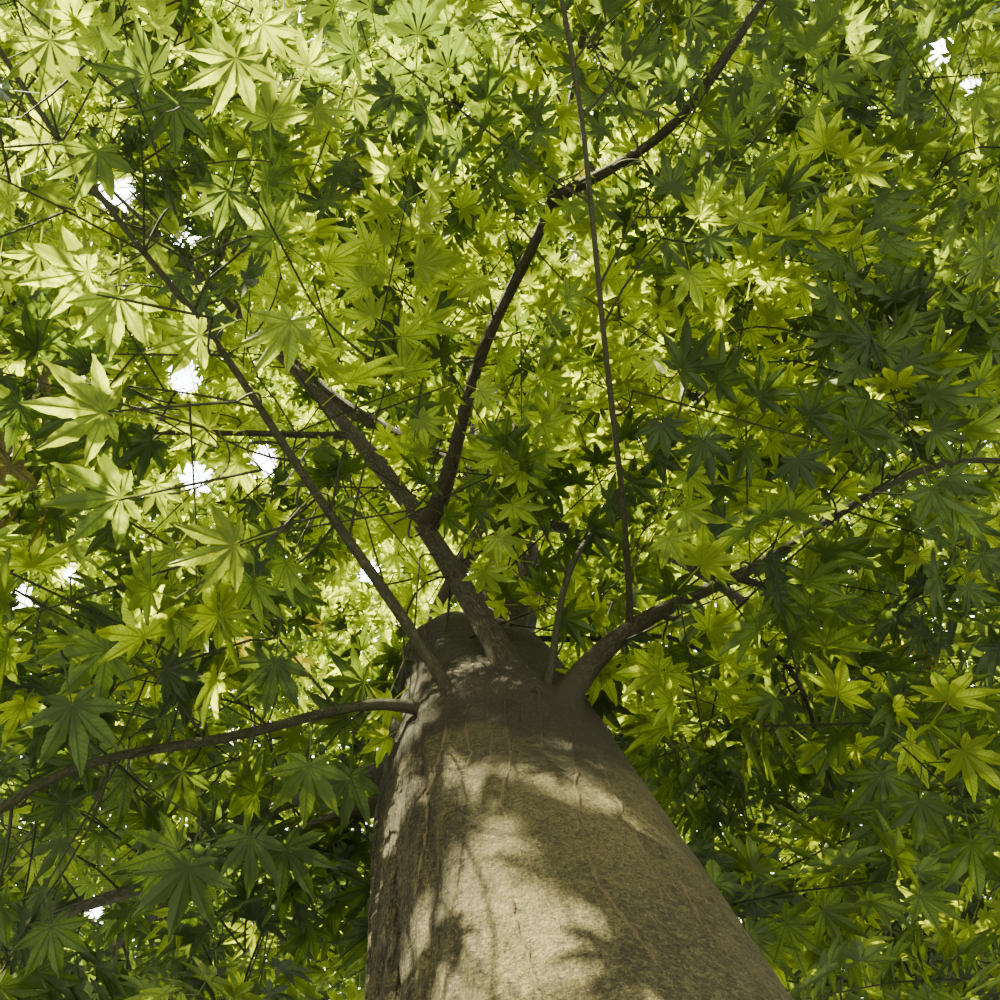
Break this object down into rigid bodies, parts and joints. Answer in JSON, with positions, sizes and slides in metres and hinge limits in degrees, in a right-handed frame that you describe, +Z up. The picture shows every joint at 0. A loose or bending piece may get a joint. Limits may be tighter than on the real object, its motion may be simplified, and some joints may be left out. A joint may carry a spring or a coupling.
{
  "type": "siebold maple tree",
  "caption": "Leaning maple tree in fresh green leaf, with a flared trunk, a warty burr, slender boughs and separate masses of foliage.",
  "frame": {"origin": "middle of the flat cut under the trunk, at ground level", "axes": "+Z up; +Y is the way a viewer at the picture's place faces, towards the trunk; +X is the picture's right"},
  "size_m": [5.6468, 6.072, 7.1087],
  "materials": {
    "bark": "smooth grey-tan bark mottled with green and ochre lichen",
    "bough_bark": "dark grey-brown bark with fine pale streaks",
    "foliage": "thin fresh yellow-green leaves that glow against the light"
  },
  "bodies": {
    "root": {"bough_back": "bough_bark", "bough_back_left": "bough_bark", "bough_back_low": "bough_bark", "bough_back_right": "bough_bark", "bough_behind": "bough_bark", "bough_centre": "bough_bark", "bough_diagonal": "bough_bark", "bough_front": "bough_bark", "bough_front_right": "bough_bark", "bough_high_1": "bough_bark", "bough_high_2": "bough_bark", "bough_high_3": "bough_bark", "bough_left": "bough_bark", "bough_left_high": "bough_bark", "bough_left_low": "bough_bark", "bough_low_1": "bough_bark", "bough_low_2": "bough_bark", "bough_low_3": "bough_bark", "bough_low_4": "bough_bark", "bough_mid_1": "bough_bark", "bough_mid_2": "bough_bark", "bough_mid_3": "bough_bark", "bough_mid_4": "bough_bark", "bough_right": "bough_bark", "bough_right_back": "bough_bark", "bough_right_low": "bough_bark", "bough_short": "bough_bark", "bough_upright": "bough_bark", "foliage_back": "foliage", "foliage_back_left": "foliage", "foliage_back_low": "foliage", "foliage_back_right": "foliage", "foliage_behind": "foliage", "foliage_centre": "foliage", "foliage_diagonal": "foliage", "foliage_front": "foliage", "foliage_front_right": "foliage", "foliage_high_1": "foliage", "foliage_high_2": "foliage", "foliage_high_3": "foliage", "foliage_left": "foliage", "foliage_left_high": "foliage", "foliage_left_low": "foliage", "foliage_low_1": "foliage", "foliage_low_2": "foliage", "foliage_low_3": "foliage", "foliage_low_4": "foliage", "foliage_mid_1": "foliage", "foliage_mid_2": "foliage", "foliage_mid_3": "foliage", "foliage_mid_4": "foliage", "foliage_right": "foliage", "foliage_right_back": "foliage", "foliage_right_low": "foliage", "foliage_short": "foliage", "foliage_top": "foliage", "foliage_upright": "foliage", "leader": "bough_bark", "trunk": "bark"}
  },
  "joints": []
}
